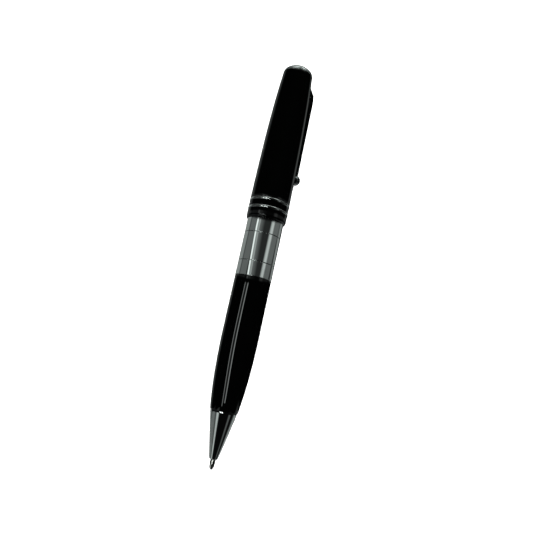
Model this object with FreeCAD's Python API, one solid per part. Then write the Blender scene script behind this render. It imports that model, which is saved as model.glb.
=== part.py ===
import FreeCAD
import Part
import math
import os

# A ballpoint pen with a concealed recorder, lying on its side.
# Every length is in mm. A station is a distance from the writing tip along the pen,
# and a shape is first drawn with its stations along X, the pen's axis at Y = Z = 0
# and the pocket clip towards +Z. Then lay_down() rolls and moves it to its place.

# Driving dimensions: stations along the pen
NOSE_FRONT = 3.4
NOSE_BACK = 18.65
SLEEVE_START = 63.0
LOWER_GROOVE = 68.2
UPPER_GROOVE = 78.1
SLEEVE_END = 83.2
LOWER_TRIM = 86.5
UPPER_TRIM = 89.4
TRIM_WIDTH = 0.8
RIM = 139.1
BUTTON_EDGE = 141.0
CAP_TOP = 142.2
BALL_STATION = 102.0
CAMERA_STATION = 134.7

# Driving dimensions: outer radii
NOSE_FRONT_R = 1.5
NOSE_BACK_R = 4.5
GRIP_R = 6.25
SLEEVE_R = 6.3
PEN_R = 7.0
RIM_R = 5.34
BALL_R = 1.85
REFILL_R = 1.175

# Walls, clearances and small edges
TUBE_R = 5.5
TUBE_BORE_R = 5.0
SPIGOT_BORE_R = 4.1
RUNNING = 0.05
JOINT_GAP = 0.1
EDGE = 0.12

# Twist mechanism
TWIST_ANGLE = 150.0
RETRACTION = 4.5
CAM_PIN_R = 0.5
CAM_PIN_STATION = 64.0
CAM_BORE_R = 4.0
DRIVER_END = 74.7
DRIVER_BORE_R = 3.2
HOLDER_R = 3.1
DOG_START = 76.2
DOG_LENGTH = 2.4
DOG_HALF_ANGLE = 18.0

# Clip
CLIP_DROP = 36.0
CLIP_THICK = 1.4
CLIP_ROOT_WIDTH = 3.2
CLIP_TIP_WIDTH = 2.4
BALL_OFFSET = PEN_R - BALL_R
CLIP_ARM_R = BALL_OFFSET / math.sin(math.radians(CLIP_DROP))
CLIP_ROOT_START = 136.6
CLIP_ROOT_END = 138.0

# Circuit board, with the clip's side of the pen as its upper side
BOARD_Z = 1.0
BOARD_THICK = 0.6
BOARD_TOP = BOARD_Z + BOARD_THICK

X_AXIS = FreeCAD.Vector(1, 0, 0)
ORIGIN = FreeCAD.Vector(0, 0, 0)


def point(station, radius):
    """A point of a half section: along the pen and out from its axis."""
    return FreeCAD.Vector(station, 0, radius)


def lines(points):
    """Straight edges through (station, radius) pairs."""
    corners = [point(*p) for p in points]
    return [Part.makeLine(a, b) for a, b in zip(corners, corners[1:])]


def curve(points):
    """One smooth edge with (station, radius) pairs as its control points."""
    bezier = Part.BezierCurve()
    bezier.setPoles([point(*p) for p in points])
    return bezier.toShape()


def spun(edges):
    """The solid swept by a closed half section turning about the pen's axis."""
    face = Part.Face(Part.Wire(edges))
    return face.revolve(ORIGIN, X_AXIS, 360)


def turned(points):
    """A solid of revolution with a straight-sided half section."""
    return spun(lines(points + points[:1]))


def rod(start, end, radius):
    return Part.makeCylinder(radius, end - start, FreeCAD.Vector(start, 0, 0), X_AXIS)


def tube(start, end, radius, bore):
    return rod(start, end, radius).cut(rod(start, end, bore))


def edged_tube(start, end, radius, bore, edge=EDGE):
    """A tube with both outer corners bevelled."""
    return turned([(start, bore), (start, radius - edge), (start + edge, radius),
                   (end - edge, radius), (end, radius - edge), (end, bore)])


def block(x0, x1, y0, y1, z0, z1):
    corner = FreeCAD.Vector(x0, y0, z0)
    return Part.makeBox(x1 - x0, y1 - y0, z1 - z0, corner)


def wide_block(x0, x1, width, z0, z1):
    """A block centred across the pen."""
    return block(x0, x1, -width / 2, width / 2, z0, z1)


def post(station, radius, z0, z1):
    """A cylinder standing out from the pen's axis on the clip's side."""
    base = FreeCAD.Vector(station, 0, z0)
    return Part.makeCylinder(radius, z1 - z0, base, FreeCAD.Vector(0, 0, 1))


def half_turn(shape):
    return shape.rotated(ORIGIN, X_AXIS, 180)


def helix_sweep(profile, pitch, height, radius, left_handed):
    """Sweep a profile, drawn at (radius, 0, 0), up a helix about Z."""
    path = Part.makeHelix(pitch, height, radius, 0, left_handed)
    shell = Part.Wire(path.Edges).makePipeShell([profile], True, True)
    return Part.Solid(shell) if shell.ShapeType == "Shell" else shell


def along_pen(shape, station):
    """Turn a shape made about Z onto the pen's axis, starting at a station."""
    shape = shape.rotated(ORIGIN, FreeCAD.Vector(0, 1, 0), 90)
    return shape.translated(FreeCAD.Vector(station, 0, 0))


def coil_spring(start, end, radius, wire, turns):
    """Drawn wire wound about the pen's axis; twelve flats stand in for its round section."""
    height = end - start - 2 * wire
    angles = [math.radians(30 * i) for i in range(12)]
    corners = [FreeCAD.Vector(radius + wire * math.cos(a), 0, wire * math.sin(a)) for a in angles]
    section = Part.makePolygon(corners + corners[:1])
    coil = helix_sweep(section, height / turns, height, radius, False)
    return along_pen(coil, start + wire)


# Writing end and lower half

def nose_cone():
    outer = curve([(NOSE_FRONT + 0.3, NOSE_FRONT_R), (11.0, 3.1), (NOSE_BACK, NOSE_BACK_R)])
    lip = curve([(NOSE_FRONT, 1.2), (NOSE_FRONT, 1.42), (NOSE_FRONT + 0.3, NOSE_FRONT_R)])
    inside = lines([(NOSE_BACK, NOSE_BACK_R), (NOSE_BACK, 3.6), (24.0, 3.6), (24.0, 1.35),
                    (5.5, 1.35), (5.5, 0.98), (NOSE_FRONT, 0.98), (NOSE_FRONT, 1.2)])
    return spun([lip, outer] + inside)


def lower_barrel():
    grip = curve([(NOSE_BACK, 4.62), (25.5, 5.68), (34.0, GRIP_R), (45.0, GRIP_R)])
    rest = lines([(45.0, GRIP_R), (SLEEVE_START - EDGE, GRIP_R), (SLEEVE_START, GRIP_R - EDGE),
                  (SLEEVE_START, TUBE_R), (56.0, TUBE_R), (56.0, 4.9), (30.0, 4.9),
                  (26.0, 3.6), (NOSE_BACK, 3.6), (NOSE_BACK, 4.62)])
    return spun([grip] + rest)


def sleeve_ring(start, end):
    return edged_tube(start, end, SLEEVE_R, TUBE_R, 0.18)


def inner_tube():
    return tube(56.0, SLEEVE_END, TUBE_R, TUBE_BORE_R)


def cam_housing():
    """Fixed sleeve whose two straight slots keep the refill holder from turning."""
    body = tube(57.0, DRIVER_END - JOINT_GAP, TUBE_BORE_R, CAM_BORE_R)
    reach = CAM_PIN_R + RUNNING
    slot = wide_block(CAM_PIN_STATION - reach, CAM_PIN_STATION + RETRACTION + reach,
                      2 * reach, CAM_BORE_R - 0.2, TUBE_BORE_R + 0.2)
    return body.cut(slot).cut(half_turn(slot))


def helical_slot():
    """Cutter for the path of one cam pin through the turning driver."""
    pitch = RETRACTION * 360.0 / TWIST_ANGLE
    middle = (DRIVER_BORE_R + CAM_BORE_R) / 2
    slope = math.atan2(pitch, 2 * math.pi * middle)
    half = (CAM_PIN_R + RUNNING) / math.cos(slope)
    low = DRIVER_BORE_R - 0.4
    high = CAM_BORE_R + 0.4
    corners = [(low, -half), (high, -half), (high, half), (low, half), (low, -half)]
    profile = Part.makePolygon([FreeCAD.Vector(r, 0, z) for r, z in corners])
    sweep = helix_sweep(profile, pitch, RETRACTION, middle, True)
    cutter = half_turn(along_pen(sweep, CAM_PIN_STATION))
    first = post(CAM_PIN_STATION, CAM_PIN_R + RUNNING, low, high)
    last = first.translated(FreeCAD.Vector(RETRACTION, 0, 0))
    return [cutter, first, last.rotated(ORIGIN, X_AXIS, -TWIST_ANGLE)]


def cam_driver():
    """Turning cam, with two dogs that take the upper half's spigot round."""
    outer = CAM_BORE_R - RUNNING
    body = tube(58.0, DRIVER_END, outer, DRIVER_BORE_R).fuse(rod(DRIVER_END, DOG_START, 4.85))
    for cutter in helical_slot():
        body = body.cut(cutter).cut(half_turn(cutter))
    ring = tube(DOG_START, DOG_START + DOG_LENGTH, 4.85, SPIGOT_BORE_R + RUNNING)
    half = 4.5 * math.sin(math.radians(DOG_HALF_ANGLE))
    bar = wide_block(DOG_START, DOG_START + DOG_LENGTH, 2 * half, -PEN_R, PEN_R)
    return body.fuse(ring.common(bar)).removeSplitter()


def refill_holder():
    """Plug on the back of the refill, with the two cam pins."""
    plug = tube(61.0, 67.0, HOLDER_R, REFILL_R).fuse(rod(67.0, 69.0, HOLDER_R))
    pin = post(CAM_PIN_STATION, CAM_PIN_R, HOLDER_R - 0.4, TUBE_BORE_R - 0.2)
    return plug.fuse(pin).fuse(half_turn(pin)).removeSplitter()


def refill_tube():
    return tube(7.6, 67.0, REFILL_R, 0.85)


def tip_ball():
    return Part.makeSphere(0.5, FreeCAD.Vector(0.5, 0, 0))


def refill_tip():
    body = turned([(0.45, 0), (0.45, 0.6), (0.7, 0.66), (3.5, 0.9), (5.2, 0.92),
                   (7.6, REFILL_R), (7.6, 0.85), (9.6, 0.85), (9.6, 0)])
    seat = Part.makeSphere(0.5 + 0.03, FreeCAD.Vector(0.5, 0, 0))
    return body.cut(seat)


# Upper half

def collar():
    start = SLEEVE_END + JOINT_GAP
    lower_edge = curve([(start, 6.4), (start + 0.1, 6.72), (start + 0.5, 6.84), (start + 1.2, 6.87)])
    rest = lines([(start + 1.2, 6.87), (LOWER_TRIM, PEN_R - 0.04), (LOWER_TRIM, 5.9), (93.0, 5.9),
                  (93.0, 4.93), (start, 4.93), (start, 6.4)])
    pocket = wide_block(83.9, 86.4, 2.0, 5.1, 6.0)
    port = post(85.1, 0.35, 5.9, PEN_R + 1)
    return spun([lower_edge] + rest).cut(pocket).cut(port)


def microphone():
    return wide_block(83.9, 86.4, 2.0, 5.1, 6.0)


def coupling_spigot():
    """Plug-in end of the upper half, notched for the driver's dogs."""
    start = DOG_START + 0.8
    body = tube(start, 91.0, 4.93, SPIGOT_BORE_R)
    groove = tube(79.9, 81.1, PEN_R, 4.5)
    half = 4.5 * math.sin(math.radians(DOG_HALF_ANGLE + 2.5))
    notch = wide_block(start - 1, DOG_START + DOG_LENGTH + 0.2, 2 * half, -PEN_R, PEN_R)
    return body.cut(groove).cut(notch)


def seal_ring():
    centre = FreeCAD.Vector(80.5, 0, 0)
    return Part.makeTorus(4.73, 0.23, centre, X_AXIS)


def trim_ring(start):
    return edged_tube(start, start + TRIM_WIDTH, PEN_R, 5.9)


def band_spacer():
    return tube(LOWER_TRIM + TRIM_WIDTH, UPPER_TRIM, PEN_R - 0.07, 5.9)


def upper_barrel():
    start = UPPER_TRIM + TRIM_WIDTH
    taper = curve([(start, PEN_R - 0.03), (108.0, 6.85), (124.0, 6.62), (RIM - 0.1, 5.42)])
    shoulder = curve([(RIM - 0.1, 5.42), (RIM, 5.41), (RIM, RIM_R)])
    inside = lines([(RIM, RIM_R), (RIM, 4.5), (136.0, 4.5), (112.0, 5.9), (start, 5.9),
                    (start, PEN_R - 0.03)])
    clip_slot = wide_block(CLIP_ROOT_START - 0.5, CLIP_ROOT_END + 0.15, 3.3, 4.0, 6.5)
    window_hole = post(CAMERA_STATION, 0.8, 4.0, PEN_R)
    return spun([taper, shoulder] + inside).cut(clip_slot).cut(window_hole)


def clip():
    """Bent strip with a port for the lens in its shoulder and a tab into the barrel."""
    outer_r = CLIP_ARM_R
    under_r = outer_r - CLIP_THICK
    knee = 134.2
    top = lines([(CLIP_ROOT_END, 4.75), (CLIP_ROOT_END, 5.3), (knee + 1.2, 7.55)])
    bend = curve([(knee + 1.2, 7.55), (knee, 8.35), (knee - 2.2, 8.4)])
    under = lines([(knee - 2.2, 8.4), (BALL_STATION + 1.5, outer_r + 0.1), (BALL_STATION + 1.5, under_r),
                   (132.8, 6.95), (CLIP_ROOT_START, 5.5), (CLIP_ROOT_START, 4.75), (CLIP_ROOT_END, 4.75)])
    side = Part.Face(Part.Wire(top + [bend] + under))
    side.translate(FreeCAD.Vector(0, -PEN_R, 0))
    strip = side.extrude(FreeCAD.Vector(0, 2 * PEN_R, 0))
    root = CLIP_ROOT_WIDTH / 2
    tip = CLIP_TIP_WIDTH / 2
    plan = [(CLIP_ROOT_END + 1, -1.5), (knee + 2.3, -1.5), (knee, -root), (BALL_STATION, -tip),
            (BALL_STATION, tip), (knee, root), (knee + 2.3, 1.5), (CLIP_ROOT_END + 1, 1.5),
            (CLIP_ROOT_END + 1, -1.5)]
    outline = Part.Face(Part.makePolygon([FreeCAD.Vector(x, y, 0) for x, y in plan]))
    body = strip.common(outline.extrude(FreeCAD.Vector(0, 0, 2 * PEN_R)))
    body = body.cut(post(CAMERA_STATION, 0.95, 4.0, 12.0))
    return body.cut(clip_ball())


def clip_ball():
    return Part.makeSphere(BALL_R, FreeCAD.Vector(BALL_STATION, 0, CLIP_ARM_R))


def bezel_ring():
    back = RIM + 1.75
    rounded = curve([(RIM, RIM_R), (RIM + 0.95, RIM_R + 0.02), (back, 4.65)])
    rest = lines([(back, 4.65), (back, 4.2), (136.0, 4.2), (136.0, 4.5), (RIM, 4.5), (RIM, RIM_R)])
    return spun([rounded] + rest)


# Button

def button_cap():
    dome = curve([(BUTTON_EDGE, 4.1), (BUTTON_EDGE + 0.75, 4.0), (CAP_TOP, 2.4), (CAP_TOP, 0)])
    rest = lines([(CAP_TOP, 0), (139.5, 0), (139.5, 1.8), (138.4, 1.8), (138.4, 4.1), (BUTTON_EDGE, 4.1)])
    return spun([dome] + rest)


def button_stem():
    return rod(130.7, 139.5, 0.9)


def switch_plunger():
    return rod(129.7, 130.7, 0.8)


# Electronics in the upper half

def flex_slot(start, end):
    return wide_block(start, end, 3.2, 1.9, 2.25)


def front_carrier():
    return rod(93.0, 94.6, 5.85).cut(main_board())


def switch_board():
    return rod(126.2, 127.2, 4.6).cut(flex_slot(126.0, 127.4))


def switch_holder():
    pocket = wide_block(127.0, 130.2, 3.6, -1.8, 1.8)
    return rod(127.2, 130.0, 4.75).cut(pocket).cut(flex_slot(127.0, 130.2))


def tact_switch():
    body = wide_block(127.2, 130.0, 3.6, -1.8, 1.8)
    return body.cut(rod(129.0, 130.0, 0.9))


def main_board():
    nose = wide_block(85.0, 94.6, 7.4, BOARD_Z, BOARD_TOP)
    return nose.fuse(wide_block(94.6, 120.0, 9.6, BOARD_Z, BOARD_TOP)).removeSplitter()


def usb_socket():
    """Thin metal shell, open towards the lower half."""
    shell = wide_block(84.0, 89.4, 7.3, -1.6, BOARD_Z)
    return shell.cut(wide_block(83.0, 89.1, 6.8, -1.35, BOARD_Z - 0.25))


def usb_tongue():
    return wide_block(84.6, 89.1, 5.2, -0.55, 0.05)


def chip(station, length, width, height):
    return wide_block(station, station + length, width, BOARD_TOP, BOARD_TOP + height)


def charge_light():
    return block(86.2, 87.2, 2.2, 2.9, BOARD_TOP, BOARD_TOP + 0.5)


def battery_cell():
    body = wide_block(95.2, 117.5, 7.8, -3.9, 0.5)
    long_edges = [e for e in body.Edges if abs(e.tangentAt(0).x) > 0.9]
    return body.makeFillet(0.6, long_edges)


def battery_foam():
    return wide_block(96.0, 116.0, 7.0, 0.5, BOARD_Z)


def battery_tabs():
    """Two thin strips from the cell's end, bent along the board's underside."""
    upright = block(117.5, 117.6, 2.0, 3.2, 0.0, BOARD_Z)
    foot = block(117.6, 119.5, 2.0, 3.2, BOARD_Z - 0.1, BOARD_Z)
    strip = upright.fuse(foot).removeSplitter()
    return Part.makeCompound([strip, strip.mirror(ORIGIN, FreeCAD.Vector(0, 1, 0))])


def camera_flex():
    return wide_block(119.5, 132.6, 3.0, 2.0, 2.15)


def camera_module():
    half = 2.1
    return wide_block(CAMERA_STATION - half, CAMERA_STATION + half, 2 * half, 1.9, 3.3)


def lens_barrel():
    return post(CAMERA_STATION, 1.0, 3.3, 4.4)


def lens_window():
    return post(CAMERA_STATION, 0.8, 4.7, 5.45)


def lay_down(shape):
    """Roll the clip to its resting side, then put the pen's middle over the origin."""
    across = CLIP_ARM_R * math.cos(math.radians(CLIP_DROP)) + BALL_R
    shape = shape.rotated(ORIGIN, X_AXIS, 90 + CLIP_DROP)
    return shape.translated(FreeCAD.Vector(-CAP_TOP / 2, (across - PEN_R) / 2, PEN_R))


def model():
    """Every piece of the pen by its name."""
    return {
        "nose_cone": nose_cone(),
        "lower_barrel": lower_barrel(),
        "sleeve_lower_ring": sleeve_ring(SLEEVE_START, LOWER_GROOVE),
        "sleeve_middle_ring": sleeve_ring(LOWER_GROOVE, UPPER_GROOVE),
        "sleeve_upper_ring": sleeve_ring(UPPER_GROOVE, SLEEVE_END),
        "inner_tube": inner_tube(),
        "cam_housing": cam_housing(),
        "cam_driver": cam_driver(),
        "refill_holder": refill_holder(),
        "refill_tube": refill_tube(),
        "refill_tip": refill_tip(),
        "tip_ball": tip_ball(),
        "collar": collar(),
        "coupling_spigot": coupling_spigot(),
        "seal_ring": seal_ring(),
        "lower_trim_ring": trim_ring(LOWER_TRIM),
        "band_spacer": band_spacer(),
        "upper_trim_ring": trim_ring(UPPER_TRIM),
        "upper_barrel": upper_barrel(),
        "bezel_ring": bezel_ring(),
        "clip": clip(),
        "clip_ball": clip_ball(),
        "button_cap": button_cap(),
        "button_stem": button_stem(),
        "switch_plunger": switch_plunger(),
        "button_spring": coil_spring(130.1, 139.4, 1.3, 0.13, 7),
        "front_carrier": front_carrier(),
        "main_board": main_board(),
        "power_chip": chip(96.0, 3.0, 3.0, 0.8),
        "processor_chip": chip(100.0, 6.0, 6.0, 0.9),
        "memory_chip": chip(107.5, 8.0, 6.0, 0.8),
        "camera_connector": chip(116.5, 3.0, 4.0, 1.0),
        "camera_flex": camera_flex(),
        "camera_module": camera_module(),
        "lens_barrel": lens_barrel(),
        "lens_window": lens_window(),
        "microphone": microphone(),
        "usb_socket": usb_socket(),
        "usb_tongue": usb_tongue(),
        "charge_light": charge_light(),
        "battery_cell": battery_cell(),
        "battery_foam": battery_foam(),
        "battery_tabs": battery_tabs(),
        "switch_board": switch_board(),
        "switch_holder": switch_holder(),
        "tact_switch": tact_switch(),
    }


os.makedirs("parts", exist_ok=True)
for name, shape in model().items():
    lay_down(shape).exportStep(f"parts/{name}.step")
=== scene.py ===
import bmesh
import bpy
import math
from mathutils import Matrix, Vector
from mathutils.geometry import interpolate_bezier


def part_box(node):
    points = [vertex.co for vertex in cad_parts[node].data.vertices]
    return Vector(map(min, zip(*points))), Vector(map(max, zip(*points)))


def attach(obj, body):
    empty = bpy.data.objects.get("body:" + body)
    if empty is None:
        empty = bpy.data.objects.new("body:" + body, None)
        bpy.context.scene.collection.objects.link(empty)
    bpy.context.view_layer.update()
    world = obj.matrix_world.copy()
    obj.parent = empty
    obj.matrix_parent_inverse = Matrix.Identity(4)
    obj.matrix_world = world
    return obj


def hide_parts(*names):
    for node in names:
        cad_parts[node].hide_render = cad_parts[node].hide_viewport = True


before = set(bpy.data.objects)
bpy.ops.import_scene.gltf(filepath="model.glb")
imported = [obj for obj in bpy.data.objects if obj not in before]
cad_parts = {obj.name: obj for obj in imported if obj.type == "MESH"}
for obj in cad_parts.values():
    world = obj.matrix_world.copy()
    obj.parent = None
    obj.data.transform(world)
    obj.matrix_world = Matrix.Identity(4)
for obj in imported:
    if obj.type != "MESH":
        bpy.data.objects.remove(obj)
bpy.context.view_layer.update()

# ---------------------------------------------------------------- places taken from the frame
MM = 0.001
TIP_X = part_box("tip_ball")[0][0]
RING_LOW, RING_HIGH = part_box("lower_trim_ring")
AXIS_Y = (RING_LOW[1] + RING_HIGH[1]) / 2
AXIS_Z = (RING_LOW[2] + RING_HIGH[2]) / 2
PEN_R = (RING_HIGH[1] - RING_LOW[1]) / 2
CLIP_DROP = math.radians(36.0)
CLIP_ROLL = math.radians(90.0) + CLIP_DROP

# Stations from the writing tip and radii, in millimetres
NOSE_FRONT, NOSE_BACK = 3.4, 18.65
REFILL_BORE = 3.6
GRIP_R = 6.25
TUBE_R = 5.5
SHELL_BORE = 5.9
RIM = 139.1
INSERT_END, BEZEL_BORE = 136.0, 4.5
LENS_PORT = 134.7
CLIP_ROOT_FRONT, CLIP_ROOT_BACK = 136.6, 138.0
CLIP_KNEE = 134.2
CLIP_BALL, CLIP_BALL_R = 102.0, 1.85
CLIP_ARM_R = (PEN_R / MM - CLIP_BALL_R) / math.sin(CLIP_DROP)

# How finely round pieces are made
STEPS = 160
BEVEL_SEGMENTS = 3
SHARP = math.radians(24.0)


def span(node):
    """First and last station of a node along the pen."""
    low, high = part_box(node)
    return low[0], high[0]


def reach(node):
    """Outer radius of a round node."""
    low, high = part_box(node)
    return (high[1] - low[1]) / 2


def at(station, radius):
    """A point of a half section from millimetres along and out from the tip."""
    return TIP_X + station * MM, radius * MM


def curve(points, steps=28):
    """Points along a smooth cubic through the plane of a half section."""
    knots = [Vector((x, r, 0)) for x, r in points]
    if len(knots) == 3:
        knots = [knots[0], knots[0].lerp(knots[1], 2 / 3), knots[2].lerp(knots[1], 2 / 3), knots[2]]
    return [(p.x, p.y) for p in interpolate_bezier(*knots, steps)]


# ---------------------------------------------------------------- mesh helpers
def new_object(name, bm, smooth=True):
    mesh = bpy.data.meshes.new(name)
    bm.to_mesh(mesh)
    bm.free()
    piece = bpy.data.objects.new(name, mesh)
    bpy.context.scene.collection.objects.link(piece)
    if smooth:
        mesh.shade_smooth()
    return piece


def soften_corners(bm, width, segments=BEVEL_SEGMENTS):
    """Round every sharp edge of a closed shape."""
    sharp = [e for e in bm.edges if len(e.link_faces) == 2 and e.calc_face_angle(0.0) > SHARP]
    bmesh.ops.bevel(bm, geom=sharp, offset=width, offset_type="OFFSET", segments=segments,
                    profile=0.5, affect="EDGES", clamp_overlap=True, material=-1)


def weigh_normals(piece):
    """Keep broad faces flat in the shading where a small rounding meets them."""
    modifier = piece.modifiers.new("broad_faces_first", "WEIGHTED_NORMAL")
    modifier.mode = "FACE_AREA"
    modifier.weight = 100
    modifier.keep_sharp = True


def spin_section(bm, outline, closed, steps=STEPS):
    verts = [bm.verts.new((x, AXIS_Y, AXIS_Z + r)) for x, r in outline]
    pairs = list(zip(verts, verts[1:]))
    if closed:
        pairs.append((verts[-1], verts[0]))
    edges = [bm.edges.new(pair) for pair in pairs]
    bmesh.ops.spin(bm, geom=verts + edges, cent=(0, AXIS_Y, AXIS_Z), axis=(1, 0, 0),
                   angle=2 * math.pi, steps=steps, use_merge=True, use_duplicate=False)
    bmesh.ops.remove_doubles(bm, verts=bm.verts, dist=1e-7)
    bmesh.ops.recalc_face_normals(bm, faces=bm.faces)


def spun(name, outline, closed=True, rounding=0.06 * MM, steps=STEPS):
    """A turned piece: a half section swept round the pen's axis, with its corners eased."""
    bm = bmesh.new()
    spin_section(bm, outline, closed, steps)
    if rounding:
        soften_corners(bm, rounding)
    piece = new_object(name, bm)
    weigh_normals(piece)
    return piece


def dress(piece, body, slot, material, *nodes):
    """Give a finished piece its body and its material, and hide the nodes it stands for; its record
    slot is not used.
    """
    piece.data.materials.clear()
    piece.data.materials.append(material)
    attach(piece, body)
    if nodes:
        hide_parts(*nodes)
    return piece


def clip_frame():
    """Turns stations, across and out from the axis on the clip's side into the pen's place."""
    roll = Matrix.Rotation(CLIP_ROLL, 4, "X")
    return Matrix.Translation((TIP_X, AXIS_Y, AXIS_Z)) @ roll


def carve(piece, cutter):
    """Cut a closed shape out of a piece, and leave the result as its mesh."""
    modifier = piece.modifiers.new("cut", "BOOLEAN")
    modifier.operation = "DIFFERENCE"
    modifier.solver = "EXACT"
    modifier.object = cutter
    piece.modifiers.move(len(piece.modifiers) - 1, 0)
    later = [m for m in piece.modifiers if m.name != "cut"]
    for m in later:
        m.show_viewport = False
    bpy.context.view_layer.update()
    depsgraph = bpy.context.evaluated_depsgraph_get()
    result = bpy.data.meshes.new_from_object(piece.evaluated_get(depsgraph))
    piece.modifiers.remove(modifier)
    old = piece.data
    result.name = old.name + "_cut"
    piece.data = result
    bpy.data.meshes.remove(old)
    for m in later:
        m.show_viewport = True
    bpy.data.objects.remove(cutter)
    return piece


# ---------------------------------------------------------------- node helpers
def put(tree, socket, value):
    """Fill a socket with a link or a plain value."""
    if isinstance(value, bpy.types.NodeSocket):
        tree.links.new(value, socket)
    elif isinstance(value, bpy.types.Node):
        tree.links.new(value.outputs[0], socket)
    else:
        socket.default_value = value


def maths(tree, operation, *values):
    node = tree.nodes.new("ShaderNodeMath")
    node.operation = operation
    for socket, value in zip(node.inputs, values):
        put(tree, socket, value)
    return node.outputs[0]


def mapped(tree, value, low, high, to_low=0.0, to_high=1.0, easing="LINEAR"):
    """Change of range, held inside the new range."""
    node = tree.nodes.new("ShaderNodeMapRange")
    node.interpolation_type = easing
    put(tree, node.inputs["Value"], value)
    ends = {"From Min": low, "From Max": high, "To Min": to_low, "To Max": to_high}
    for name, number in ends.items():
        node.inputs[name].default_value = number
    return node.outputs["Result"]


def mixed(tree, factor, first, second):
    node = tree.nodes.new("ShaderNodeMix")
    node.data_type = "RGBA"
    put(tree, node.inputs["Factor"], factor)
    put(tree, node.inputs["A"], first)
    put(tree, node.inputs["B"], second)
    return node.outputs["Result"]


def noise(tree, vector, scale, detail=2.0, roughness=0.5):
    node = tree.nodes.new("ShaderNodeTexNoise")
    put(tree, node.inputs["Vector"], vector)
    node.inputs["Scale"].default_value = scale
    node.inputs["Detail"].default_value = detail
    node.inputs["Roughness"].default_value = roughness
    return node.outputs["Fac"]


def stretched(tree, vector, scale, location=(0, 0, 0)):
    node = tree.nodes.new("ShaderNodeMapping")
    put(tree, node.inputs["Vector"], vector)
    node.inputs["Scale"].default_value = scale
    node.inputs["Location"].default_value = location
    return node.outputs["Vector"]


def new_group(name, inputs, outputs):
    """A shader node group with named sockets; returns it with its input and output nodes."""
    group = bpy.data.node_groups.new(name, "ShaderNodeTree")
    for label, kind in inputs:
        group.interface.new_socket(name=label, in_out="INPUT", socket_type=kind)
    for label, kind in outputs:
        group.interface.new_socket(name=label, in_out="OUTPUT", socket_type=kind)
    start = group.nodes.new("NodeGroupInput")
    end = group.nodes.new("NodeGroupOutput")
    return group, start, end


FLOAT, VECTOR = "NodeSocketFloat", "NodeSocketVector"
AMOUNT_IN = [("Vector", VECTOR), ("Amount", FLOAT)]
MASK_OUT, HEIGHT_OUT = [("Mask", FLOAT)], [("Height", FLOAT)]


def handling_marks_group():
    """Faint finger smudges: broad patches broken up by fine skin ridges."""
    group, start, end = new_group("handling_marks", AMOUNT_IN, MASK_OUT)
    patches = noise(group, start.outputs["Vector"], 130.0, 3.0, 0.55)
    skin = stretched(group, start.outputs["Vector"], (2600.0, 900.0, 900.0))
    ridges = noise(group, skin, 1.0, 1.0)
    broad = mapped(group, patches, 0.48, 0.70)
    fine = mapped(group, ridges, 0.35, 0.65, 0.45, 1.0)
    both = maths(group, "MULTIPLY", broad, fine)
    group.links.new(maths(group, "MULTIPLY", both, start.outputs["Amount"]), end.inputs["Mask"])
    return group


def turning_lines_group():
    """Very fine rings left by turning and polishing, as a height."""
    inputs = [("Vector", VECTOR), ("Spacing", FLOAT)]
    group, start, end = new_group("turning_lines", inputs, HEIGHT_OUT)
    rings = stretched(group, start.outputs["Vector"], (1.0, 0.004, 0.004))
    node = group.nodes.new("ShaderNodeTexNoise")
    put(group, node.inputs["Vector"], rings)
    put(group, node.inputs["Scale"], maths(group, "DIVIDE", 1.0, start.outputs["Spacing"]))
    node.inputs["Detail"].default_value = 2.0
    group.links.new(node.outputs["Fac"], end.inputs["Height"])
    return group


def hairlines_group():
    """Sparse fine scratches running mostly along the pen."""
    group, start, end = new_group("hairlines", AMOUNT_IN, MASK_OUT)
    drawn_out = stretched(group, start.outputs["Vector"], (160.0, 5200.0, 5200.0))
    lengthwise = noise(group, drawn_out, 1.0, 1.0)
    patches = noise(group, start.outputs["Vector"], 210.0, 2.0)
    thin = mapped(group, lengthwise, 0.66, 0.72)
    placed = mapped(group, patches, 0.5, 0.62)
    both = maths(group, "MULTIPLY", thin, placed)
    group.links.new(maths(group, "MULTIPLY", both, start.outputs["Amount"]), end.inputs["Mask"])
    return group


def dust_group():
    """Small pale specks, more of them where a broad noise is high."""
    group, start, end = new_group("dust", AMOUNT_IN, MASK_OUT)
    cells = group.nodes.new("ShaderNodeTexVoronoi")
    put(group, cells.inputs["Vector"], start.outputs["Vector"])
    cells.inputs["Scale"].default_value = 900.0
    speck = mapped(group, cells.outputs["Distance"], 0.05, 0.09, 1.0, 0.0)
    place = mapped(group, noise(group, start.outputs["Vector"], 260.0, 2.0), 0.56, 0.66)
    both = maths(group, "MULTIPLY", speck, place)
    group.links.new(maths(group, "MULTIPLY", both, start.outputs["Amount"]), end.inputs["Mask"])
    return group


def moulded_grain_group():
    """The shallow spark-eroded grain of a moulded part, as a height."""
    inputs = [("Vector", VECTOR), ("Scale", FLOAT)]
    group, start, end = new_group("moulded_grain", inputs, HEIGHT_OUT)
    node = group.nodes.new("ShaderNodeTexNoise")
    put(group, node.inputs["Vector"], start.outputs["Vector"])
    put(group, node.inputs["Scale"], start.outputs["Scale"])
    node.inputs["Detail"].default_value = 4.0
    group.links.new(node.outputs["Fac"], end.inputs["Height"])
    return group


HANDLING = handling_marks_group()
TURNING = turning_lines_group()
HAIRLINES = hairlines_group()
DUST = dust_group()
GRAIN = moulded_grain_group()


def use(tree, group, **values):
    """Place a shared group in a material with its own values."""
    node = tree.nodes.new("ShaderNodeGroup")
    node.node_tree = group
    for name, value in values.items():
        put(tree, node.inputs[name], value)
    return node.outputs[0]


def new_material(name):
    """A new material, with its tree, its Principled shader and the object's own coordinates."""
    material = bpy.data.materials.new(name)
    material.use_nodes = True
    tree = material.node_tree
    place = tree.nodes.new("ShaderNodeTexCoord").outputs["Object"]
    return material, tree, tree.nodes["Principled BSDF"], place


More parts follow.
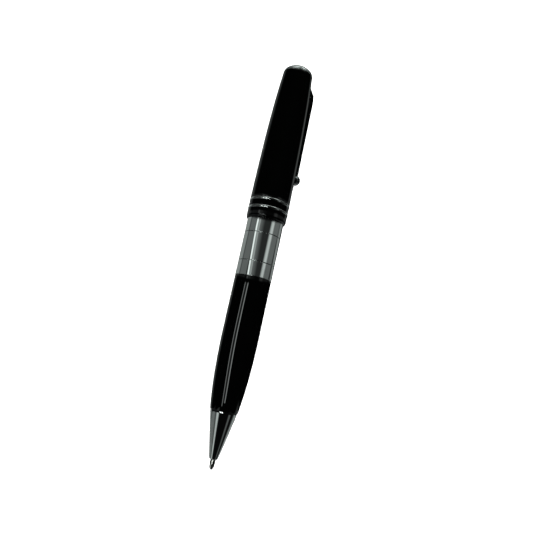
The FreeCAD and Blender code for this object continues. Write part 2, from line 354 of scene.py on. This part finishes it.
def bump(tree, shader, height, distance, strength=1.0):
    node = tree.nodes.new("ShaderNodeBump")
    node.inputs["Distance"].default_value = distance
    node.inputs["Strength"].default_value = strength
    put(tree, node.inputs["Height"], height)
    tree.links.new(node.outputs["Normal"], shader.inputs["Normal"])


def plated_metal(name, colour, worn, smooth, smudged, ring_spacing, ring_depth):
    """Plated and polished metal: rings from polishing, finger smudges and hairlines."""
    material, tree, shader, place = new_material(name)
    marks = use(tree, HANDLING, Vector=place, Amount=1.0)
    lines = use(tree, HAIRLINES, Vector=place, Amount=1.0)
    both = maths(tree, "MAXIMUM", maths(tree, "MULTIPLY", marks, 0.6), lines)
    put(tree, shader.inputs["Base Color"], mixed(tree, both, colour, worn))
    put(tree, shader.inputs["Roughness"], mapped(tree, both, 0.0, 1.0, smooth, smudged))
    shader.inputs["Metallic"].default_value = 1.0
    rings = use(tree, TURNING, Vector=place, Spacing=ring_spacing)
    bump(tree, shader, rings, ring_depth)
    return material


def lacquer(name, colour, dusty, smooth, smudged):
    """Deep gloss lacquer: a hint of orange peel, smudges and a few specks of dust."""
    material, tree, shader, place = new_material(name)
    marks = use(tree, HANDLING, Vector=place, Amount=1.0)
    specks = use(tree, DUST, Vector=place, Amount=0.5)
    put(tree, shader.inputs["Base Color"], mixed(tree, specks, colour, dusty))
    put(tree, shader.inputs["Roughness"], mapped(tree, marks, 0.0, 1.0, smooth, smudged))
    shader.inputs["IOR"].default_value = 1.45
    peel = noise(tree, place, 420.0, 1.0)
    bump(tree, shader, peel, 0.4e-6)
    return material


def moulding(name, colour, shade, rough, grain_scale=9000.0, depth=3e-6):
    """Moulded plastic, rubber or resin: fine grain and a slow change of tone."""
    material, tree, shader, place = new_material(name)
    tone = mapped(tree, noise(tree, place, 600.0, 3.0), 0.35, 0.65)
    put(tree, shader.inputs["Base Color"], mixed(tree, tone, colour, shade))
    put(tree, shader.inputs["Roughness"], mapped(tree, tone, 0.0, 1.0, rough, rough + 0.12))
    grain = use(tree, GRAIN, Vector=place, Scale=grain_scale)
    bump(tree, shader, grain, depth)
    return material


def circuit_board():
    """Green solder mask over copper tracks, with tinned pads."""
    material, tree, shader, place = new_material("circuit_board")
    tracks = tree.nodes.new("ShaderNodeTexBrick")
    put(tree, tracks.inputs["Vector"], place)
    tracks.inputs["Scale"].default_value = 520.0
    tracks.inputs["Mortar Size"].default_value = 0.05
    for name, level in (("Color1", 0.0), ("Color2", 0.0), ("Mortar", 1.0)):
        tracks.inputs[name].default_value = (level, level, level, 1)
    pads = tree.nodes.new("ShaderNodeTexVoronoi")
    put(tree, pads.inputs["Vector"], place)
    pads.inputs["Scale"].default_value = 700.0
    pad = mapped(tree, pads.outputs["Distance"], 0.16, 0.2, 1.0, 0.0)
    mask = (0.01, 0.12, 0.05, 1)
    track = (0.03, 0.24, 0.09, 1)
    with_tracks = mixed(tree, tracks.outputs["Color"], mask, track)
    tin = (0.6, 0.6, 0.58, 1)
    put(tree, shader.inputs["Base Color"], mixed(tree, pad, with_tracks, tin))
    put(tree, shader.inputs["Metallic"], pad)
    shader.inputs["Roughness"].default_value = 0.32
    bump(tree, shader, tracks.outputs["Color"], 12e-6)
    return material


def glass(name, colour, roughness=0.02):
    material, tree, shader, place = new_material(name)
    marks = use(tree, HANDLING, Vector=place, Amount=1.0)
    put(tree, shader.inputs["Base Color"], mixed(tree, marks, colour, (0.8, 0.85, 0.85, 1)))
    put(tree, shader.inputs["Roughness"], mapped(tree, marks, 0.0, 1.0, roughness, 0.15))
    shader.inputs["IOR"].default_value = 1.5
    shader.inputs["Coat Weight"].default_value = 1.0
    return material


# Metals: clean colour, worn colour, clean and smudged roughness, spacing and depth of the rings.
# Mouldings: colour, shaded colour and roughness, then the grain's scale and depth.
CHROME = plated_metal("polished_chrome", (0.70, 0.725, 0.715, 1), (0.56, 0.58, 0.57, 1),
                      0.022, 0.09, 0.00012, 0.25e-6)
GUNMETAL = plated_metal("gunmetal_plating", (0.30, 0.315, 0.31, 1), (0.22, 0.23, 0.23, 1),
                        0.08, 0.2, 0.0002, 0.2e-6)
NICKEL = plated_metal("nickel_plating", (0.66, 0.66, 0.62, 1), (0.5, 0.5, 0.46, 1),
                      0.13, 0.24, 0.00009, 0.8e-6)
BRASS = plated_metal("turned_brass", (0.78, 0.58, 0.27, 1), (0.55, 0.38, 0.16, 1),
                     0.2, 0.34, 0.00022, 2.5e-6)
STEEL_WIRE = plated_metal("spring_wire", (0.55, 0.55, 0.56, 1), (0.38, 0.38, 0.4, 1),
                          0.2, 0.32, 0.0001, 1e-6)
CARBIDE = plated_metal("ground_carbide", (0.38, 0.38, 0.39, 1), (0.2, 0.2, 0.25, 1),
                       0.2, 0.4, 0.00005, 0.5e-6)
FOIL = plated_metal("cell_foil", (0.72, 0.73, 0.74, 1), (0.5, 0.51, 0.52, 1),
                    0.28, 0.45, 0.0006, 9e-6)
LACQUER = lacquer("black_lacquer", (0.0001, 0.00012, 0.00012, 1), (0.004, 0.004, 0.004, 1),
                  0.016, 0.05)
WHITE_ACETAL = moulding("white_acetal", (0.82, 0.81, 0.77, 1), (0.72, 0.71, 0.67, 1), 0.42)
GREY_ACETAL = moulding("grey_acetal", (0.16, 0.165, 0.17, 1), (0.11, 0.115, 0.12, 1), 0.42)
BLACK_PLASTIC = moulding("black_moulding", (0.015, 0.015, 0.016, 1), (0.03, 0.03, 0.032, 1), 0.4)
IVORY_PLASTIC = moulding("ivory_moulding", (0.76, 0.7, 0.55, 1), (0.66, 0.6, 0.46, 1), 0.42)
RUBBER = moulding("seal_rubber", (0.012, 0.012, 0.012, 1), (0.03, 0.03, 0.03, 1), 0.6)
RESIN = moulding("chip_resin", (0.02, 0.02, 0.022, 1), (0.04, 0.04, 0.043, 1), 0.5)
FILM = moulding("amber_film", (0.55, 0.2, 0.02, 1), (0.68, 0.3, 0.05, 1), 0.2, 3000.0)
FOAM = moulding("white_foam", (0.85, 0.85, 0.82, 1), (0.7, 0.7, 0.68, 1), 0.85, 5000.0, 30e-6)
RED_LENS = moulding("red_lens", (0.6, 0.03, 0.02, 1), (0.72, 0.07, 0.04, 1), 0.15, 3000.0, 1e-6)
BOARD = circuit_board()
GLASS = glass("clear_glass", (0.03, 0.03, 0.045, 1))

NODE_FINISH = {
    "inner_tube": BRASS, "coupling_spigot": BRASS, "refill_tube": BRASS,
    "cam_housing": WHITE_ACETAL, "refill_holder": WHITE_ACETAL,
    "cam_driver": GREY_ACETAL, "button_stem": GREY_ACETAL,
    "tip_ball": CARBIDE, "seal_ring": RUBBER, "button_spring": STEEL_WIRE,
    "front_carrier": BLACK_PLASTIC, "switch_plunger": BLACK_PLASTIC, "switch_holder": BLACK_PLASTIC,
    "camera_module": BLACK_PLASTIC, "lens_barrel": BLACK_PLASTIC, "usb_tongue": BLACK_PLASTIC,
    "main_board": BOARD, "switch_board": BOARD,
    "power_chip": RESIN, "processor_chip": RESIN, "memory_chip": RESIN, "tact_switch": RESIN,
    "camera_connector": IVORY_PLASTIC, "camera_flex": FILM, "lens_window": GLASS,
    "microphone": NICKEL, "usb_socket": NICKEL, "battery_tabs": NICKEL,
    "charge_light": RED_LENS, "battery_cell": FOIL, "battery_foam": FOAM,
}
for node, material in NODE_FINISH.items():
    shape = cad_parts[node]
    shape.data.materials.clear()
    shape.data.materials.append(material)


# ---------------------------------------------------------------- writing end
def nose_cone():
    """Cone with a rolled lip, and a stepped bore that guides the refill."""
    lip_end = NOSE_FRONT + 0.3
    plug_end, guide_end, guide_r, mouth_r = 24.0, 5.5, 1.35, 0.98
    lip = curve([at(NOSE_FRONT, 1.2), at(NOSE_FRONT, 1.42), at(lip_end, 1.5)], 8)
    cone = curve([at(lip_end, 1.5), at(11.0, 3.1), at(NOSE_BACK, 4.5)], 24)
    inside = [at(NOSE_BACK, REFILL_BORE), at(plug_end, REFILL_BORE), at(plug_end, guide_r),
              at(guide_end, guide_r), at(guide_end, mouth_r), at(NOSE_FRONT, mouth_r)]
    return spun("nose_cone_turned", lip + cone[1:] + inside, rounding=0.02 * MM)


def refill_point():
    """Ball seat, slim neck and the shoulder where the point is pressed into the tube."""
    shoulder, plug_end, plug_r, bore = 7.6, 9.6, 0.85, 0.4
    outline = [at(0.45, 0.535), at(0.45, 0.62), at(0.8, 0.79), at(2.2, 0.93), at(5.2, 0.94),
               at(shoulder, 1.175), at(shoulder, plug_r), at(plug_end, plug_r), at(plug_end, bore),
               at(1.2, bore)]
    return spun("refill_point", outline, rounding=0.03 * MM, steps=64)


def lower_barrel():
    """Grip that swells from the nose to a parallel stretch, with a socket for the inner tube."""
    end = span("lower_barrel")[1]
    socket, bore = 56.0, 4.9
    grip = curve([at(NOSE_BACK, 4.62), at(25.5, 5.68), at(34.0, GRIP_R), at(45.0, GRIP_R)], 40)
    rest = [(end - 9 * MM, GRIP_R * MM), (end, GRIP_R * MM), (end, TUBE_R * MM), at(socket, TUBE_R),
            at(socket, bore), at(30.0, bore), at(26.0, REFILL_BORE), at(NOSE_BACK, REFILL_BORE)]
    return spun("lower_barrel_shell", grip + rest, rounding=0.09 * MM)


def sleeve_ring(node):
    """A sleeve segment with half a groove at each end."""
    start, end = span(node)
    outer, bore = reach(node), TUBE_R * MM
    step, depth = 0.11 * MM, 0.25 * MM
    outline = [(start, bore), (start, outer - depth), (start + step, outer - depth),
               (start + step, outer), (end - step, outer), (end - step, outer - depth),
               (end, outer - depth), (end, bore)]
    return spun(node + "_turned", outline, rounding=0.07 * MM)


dress(nose_cone(), "lower_half", "polished_chrome", CHROME, "nose_cone")
dress(refill_point(), "refill", "nickel", NICKEL, "refill_tip")
dress(lower_barrel(), "lower_half", "black_lacquer", LACQUER, "lower_barrel")
for ring in ("sleeve_lower_ring", "sleeve_middle_ring", "sleeve_upper_ring"):
    dress(sleeve_ring(ring), "lower_half", "polished_chrome", CHROME, ring)


# ---------------------------------------------------------------- upper half
def collar():
    """Black collar with a rounded lower edge, and a hub that the trim rings sit on."""
    start, end = span("collar")
    front = (start - TIP_X) / MM
    hub = span("lower_trim_ring")[0]
    hub_r, bore = SHELL_BORE * MM, 4.93 * MM
    edge = curve([at(front, 6.4), at(front + 0.1, 6.74), at(front + 0.4, 6.91),
                  at(front + 0.9, 6.93)], 12)
    rest = [(hub, PEN_R - 0.05 * MM), (hub, hub_r), (end, hub_r), (end, bore), (start, bore)]
    return spun("collar_shell", edge + rest, rounding=0.05 * MM)


def plain_ring(node):
    """A square-edged ring on the collar's hub."""
    start, end = span(node)
    outer, bore = reach(node), SHELL_BORE * MM
    outline = [(start, bore), (start, outer), (end, outer), (end, bore)]
    return spun(node + "_turned", outline, rounding=0.03 * MM)


def trim_ring(node):
    """A bright ring with a domed outside, standing a little proud of the lacquer."""
    start, end = span(node)
    outer, bore = reach(node), SHELL_BORE * MM
    low, middle = outer - 0.08 * MM, (start + end) / 2
    crown = outer + 0.05 * MM
    dome = curve([(start, low), (start + 0.1 * MM, crown), (middle, crown)], 8)
    dome += [(2 * middle - x, r) for x, r in reversed(dome[:-1])]
    outline = [(start, bore)] + dome + [(end, bore)]
    return spun(node + "_turned", outline, rounding=None)


def upper_barrel():
    """Tapering shell, cut for the clip's root and for the lens behind the clip's shoulder."""
    start = (span("upper_barrel")[0] - TIP_X) / MM
    taper_end, end_r = RIM - 0.1, 5.42
    taper = curve([at(start, 6.97), at(108.0, 6.85), at(124.0, 6.62), at(taper_end, end_r)], 56)
    shoulder = curve([at(taper_end, end_r), at(RIM, 5.41), at(RIM, 5.34)], 5)
    inside = [at(RIM, BEZEL_BORE), at(INSERT_END, BEZEL_BORE), at(112.0, SHELL_BORE),
              at(start, SHELL_BORE)]
    piece = spun("upper_barrel_shell", taper + shoulder[1:] + inside, rounding=0.03 * MM)
    carve(piece, box_cutter(CLIP_ROOT_FRONT - 0.5, CLIP_ROOT_BACK + 0.15, 3.3, 4.0, 6.5))
    return carve(piece, post_cutter(LENS_PORT, 0.8, 4.0, 7.0))


def box_cutter(x0, x1, width, z0, z1):
    """A block under the clip, between two stations and two distances from the axis."""
    bm = bmesh.new()
    bmesh.ops.create_cube(bm, size=1.0)
    bmesh.ops.scale(bm, vec=((x1 - x0) * MM, width * MM, (z1 - z0) * MM), verts=bm.verts)
    bmesh.ops.translate(bm, vec=((x0 + x1) / 2 * MM, 0, (z0 + z1) / 2 * MM), verts=bm.verts)
    bmesh.ops.transform(bm, matrix=clip_frame(), verts=bm.verts)
    return new_object("slot_cutter", bm, smooth=False)


def post_cutter(station, radius, z0, z1):
    """A round post under the clip, standing out from the axis."""
    bm = bmesh.new()
    bmesh.ops.create_cone(bm, cap_ends=True, segments=48, radius1=radius * MM, radius2=radius * MM,
                          depth=(z1 - z0) * MM)
    bmesh.ops.translate(bm, vec=(station * MM, 0, (z0 + z1) / 2 * MM), verts=bm.verts)
    bmesh.ops.transform(bm, matrix=clip_frame(), verts=bm.verts)
    return new_object("port_cutter", bm, smooth=False)


def bezel_ring():
    """Bright ring with a bead against the barrel's rim, round a bore for the button."""
    top, bore = 140.85, 4.2
    bead = curve([at(RIM, 5.40), at(RIM + 0.15, 5.56), at(RIM + 0.32, 5.36)], 6)
    rounded = bead + curve([at(RIM + 0.4, 5.36), at(RIM + 1.05, 5.36), at(top, 4.65)], 16)
    rest = [at(top, bore), at(INSERT_END, bore), at(INSERT_END, BEZEL_BORE), at(RIM, BEZEL_BORE)]
    return spun("bezel_ring_turned", rounded + rest, rounding=0.04 * MM)


def button_dome():
    """Domed end button with a skirt, hollowed for its stem."""
    top, edge, skirt, hollow = 142.2, 141.0, 138.4, 139.5
    outer, hollow_r = 4.1, 1.8
    dome = curve([at(edge, outer), at(edge + 0.75, 4.0), at(top, 2.4), at(top, 0.0)], 24)
    outline = [at(hollow, 0.0), at(hollow, hollow_r), at(skirt, hollow_r), at(skirt, outer)] + dome
    return spun("button_dome", outline, closed=False, rounding=0.05 * MM)


dress(collar(), "upper_half", "black_lacquer", LACQUER, "collar")
dress(trim_ring("lower_trim_ring"), "upper_half", "polished_chrome", CHROME, "lower_trim_ring")
dress(plain_ring("band_spacer"), "upper_half", "black_lacquer", LACQUER, "band_spacer")
dress(trim_ring("upper_trim_ring"), "upper_half", "polished_chrome", CHROME, "upper_trim_ring")
dress(upper_barrel(), "upper_half", "black_lacquer", LACQUER, "upper_barrel")
dress(bezel_ring(), "upper_half", "polished_chrome", CHROME, "bezel_ring")
dress(button_dome(), "button", "polished_chrome", CHROME, "button_cap")


# ---------------------------------------------------------------- clip
def clip_strip():
    """Bent strip, wider at its shoulder than at its ball, with the lens port in its shoulder."""
    knee, end = CLIP_KNEE, CLIP_BALL + 1.5
    root_z = 4.75
    side = [(CLIP_ROOT_BACK, root_z), (CLIP_ROOT_BACK, 5.3), (knee + 1.2, 7.55)]
    side += curve([(knee + 1.2, 7.55), (knee, 8.35), (knee - 2.2, 8.4)], 10)[1:]
    side += [(end, CLIP_ARM_R + 0.1), (end, CLIP_ARM_R - 1.4), (132.8, 6.95),
             (CLIP_ROOT_FRONT, 5.5), (CLIP_ROOT_FRONT, root_z)]
    bm = bmesh.new()
    verts = [bm.verts.new((x * MM, -0.5 * MM, z * MM)) for x, z in side]
    face = bm.faces.new(verts)
    swept = bmesh.ops.extrude_face_region(bm, geom=[face])["geom"]
    far_side = [v for v in swept if isinstance(v, bmesh.types.BMVert)]
    bmesh.ops.translate(bm, vec=(0, MM, 0), verts=far_side)
    for vert in bm.verts:
        station = vert.co.x / MM
        along = min(1.0, max(0.0, (station - CLIP_BALL) / (knee - CLIP_BALL)))
        vert.co.y *= 2.4 + along * 0.8 if station < knee + 0.5 else 3.0
    bmesh.ops.recalc_face_normals(bm, faces=bm.faces)
    soften_corners(bm, 0.34 * MM)
    bmesh.ops.transform(bm, matrix=clip_frame(), verts=bm.verts)
    piece = new_object("clip_strip", bm)
    weigh_normals(piece)
    return carve(piece, post_cutter(LENS_PORT, 0.95, 4.0, 12.0))


def clip_end_ball():
    """The ball at the clip's free end."""
    bm = bmesh.new()
    bmesh.ops.create_uvsphere(bm, u_segments=48, v_segments=32, radius=CLIP_BALL_R * MM)
    bmesh.ops.translate(bm, vec=(CLIP_BALL * MM, 0, CLIP_ARM_R * MM), verts=bm.verts)
    bmesh.ops.transform(bm, matrix=clip_frame(), verts=bm.verts)
    return new_object("clip_end_ball", bm)


dress(clip_strip(), "pocket_clip", "gunmetal", GUNMETAL, "clip")
dress(clip_end_ball(), "pocket_clip", "gunmetal", GUNMETAL, "clip_ball")


# ---------------------------------------------------------------- studio
def floor():
    """A plain pale table top, 1.4 m square."""
    bm = bmesh.new()
    bmesh.ops.create_grid(bm, x_segments=2, y_segments=2, size=0.7)
    piece = new_object("studio_table", bm)
    material, tree, shader, place = new_material("pale_table")
    tone = mapped(tree, noise(tree, place, 8.0, 3.0), 0.4, 0.6)
    paler, pale = (0.93, 0.93, 0.93, 1), (0.9, 0.9, 0.9, 1)
    put(tree, shader.inputs["Base Color"], mixed(tree, tone, paler, pale))
    shader.inputs["Roughness"].default_value = 0.9
    piece.data.materials.append(material)
    piece.visible_glossy = False


def soft_light(name, place, size, power):
    """A large soft light aimed at the pen, kept out of its reflections."""
    data = bpy.data.lights.new(name, "AREA")
    data.size = size
    data.energy = power
    lamp = bpy.data.objects.new(name, data)
    lamp.location = place
    lamp.rotation_euler = (-Vector(place)).to_track_quat("-Z", "Y").to_euler()
    lamp.visible_glossy = False
    bpy.context.scene.collection.objects.link(lamp)


# Stretches of the light tent along the pen. A direction's lengthwise share runs from -1, straight
# out past the writing tip, to 1, straight out past the cap.
NOSE = (-1.0, -0.36)
GRIP = (-0.34, 0.134)
SLEEVE = (0.143, 0.256)
UPPER = (0.256, 0.69)
CAP = (0.69, 1.0)

# The tent's panels: the middle's angle from straight up towards the clip's side, half width and
# soft edge, all in degrees, then brightness and stretch
PANELS = [
    (-112, 30, 8, 0.19, (-1.0, -0.31)),
    (-60, 16, 8, 0.09, NOSE),
    (-48, 6, 9, 0.50, NOSE),
    (62, 7, 5, 0.10, NOSE),
    (144, 20, 26, 0.36, (-1.0, -0.22)),
    (-150, 22, 9, 0.26, (-0.31, 0.143)),
    (-136, 27, 12, 0.28, SLEEVE),
    (-73, 20, 6, 0.13, SLEEVE),
    (0, 180, 1, 0.024, SLEEVE),
    (51, 4, 11, 0.56, SLEEVE),
    (80, 22, 8, 0.13, SLEEVE),
    (-150, 26, 12, 0.28, UPPER),
    (138, 7, 9, 0.28, UPPER),
    (0, 180, 1, 0.30, CAP),
    (-30, 20, 20, 0.60, CAP),
    (48, 6, 12, 1.2, CAP),
]
# Panels whose angle changes along the pen, so their streaks drift across the sleeve
SLANTED = [
    (-36, 3.5, 2, 1.15, SLEEVE),
    (-24, 6.0, 3, 0.25, SLEEVE),
    (-16, 4, 24, 0.13, SLEEVE),
    (138, 9, 10, 0.26, SLEEVE),
]
# The long window over the lower barrel: its pane, then its two brighter edges
WINDOW = [
    (-33, 9, 2, 0.22, GRIP),
    (-24.5, 1.8, 1.5, 5.5, GRIP),
    (-42, 1.2, 1.2, 4.6, (-0.36, 0.134)),
]
TENT_DARK = 0.003
TENT_TINT = (0.93, 1.0, 0.975, 1)
WHITE = (1, 1, 1, 1)


def panel(tree, angle, middle, half, soft):
    """1 across a panel, fading to 0 over its soft edges."""
    away = maths(tree, "ABSOLUTE", maths(tree, "SUBTRACT", angle, math.radians(middle)))
    return mapped(tree, away, math.radians(half), math.radians(half + soft), 1.0, 0.0)


def facing(tree, along, start, end, soft=0.003):
    """1 where a direction's lengthwise share lies in a stretch."""
    from_start = mapped(tree, along, start, start + soft)
    to_end = mapped(tree, along, end, end + soft, 1.0, 0.0)
    return maths(tree, "MULTIPLY", from_start, to_end)


def lit_panels(tree, panels, angle, along, total):
    """Add a set of panels, all measured by one angle, to the light so far."""
    for middle, half, soft, level, stretch in panels:
        across = panel(tree, angle, middle, half, soft)
        shape = maths(tree, "MULTIPLY", across, facing(tree, along, *stretch))
        total = maths(tree, "ADD", maths(tree, "MULTIPLY", shape, level), total)
    return total


def light_tent():
    """A soft studio tent of pale and dark panels that run along the pen, on a white ground."""
    world = bpy.data.worlds.new("light_tent")
    bpy.context.scene.world = world
    world.use_nodes = True
    tree = world.node_tree
    tree.nodes.clear()
    direction = tree.nodes.new("ShaderNodeTexCoord").outputs["Generated"]
    parts = tree.nodes.new("ShaderNodeSeparateXYZ")
    put(tree, parts.inputs[0], direction)
    x, y, z = parts.outputs
    angle = maths(tree, "ARCTAN2", maths(tree, "MULTIPLY", y, -1.0), z)
    total = lit_panels(tree, PANELS, angle, x, TENT_DARK)
    slant = mapped(tree, x, 0.15, 0.24, 0.0, math.radians(12))
    total = lit_panels(tree, SLANTED, maths(tree, "ADD", angle, slant), x, total)
    drift = mapped(tree, x, -0.42, 0.10, math.radians(20), math.radians(2), "SMOOTHSTEP")
    total = lit_panels(tree, WINDOW, maths(tree, "SUBTRACT", angle, drift), x, total)
    seen = tree.nodes.new("ShaderNodeLightPath").outputs["Is Camera Ray"]
    background = tree.nodes.new("ShaderNodeBackground")
    put(tree, background.inputs["Color"], mixed(tree, seen, TENT_TINT, WHITE))
    put(tree, background.inputs["Strength"], maths(tree, "MAXIMUM", total, seen))
    out = tree.nodes.new("ShaderNodeOutputWorld")
    tree.links.new(background.outputs[0], out.inputs["Surface"])


def camera():
    """Looks down on the pen from close by, tilted towards the cap, with the pen leaning right."""
    lean = math.radians(12.25)
    tilt = math.radians(9.865)
    level = math.cos(tilt)
    along = Vector((math.sin(lean) * level, math.cos(lean) * level, -math.sin(tilt)))
    across = Vector((-math.cos(lean), math.sin(lean), 0.0))
    data = bpy.data.cameras.new("camera")
    data.sensor_width = 36.0
    data.lens = 35.3
    data.clip_start = 0.01
    eye = bpy.data.objects.new("camera", data)
    turn = Matrix((along, across, along.cross(across))).to_4x4()
    from_tip, aside, above = 37.57 * MM, -3.59 * MM, 175.45 * MM
    place = Vector((TIP_X + from_tip, AXIS_Y + aside, AXIS_Z + above))
    eye.matrix_world = Matrix.Translation(place) @ turn
    bpy.context.scene.collection.objects.link(eye)
    bpy.context.scene.camera = eye


floor()
soft_light("overhead_fill", (0.0, 0.0, 0.9), 1.8, 70.0)
light_tent()
camera()
bpy.context.scene.view_settings.view_transform = "Standard"
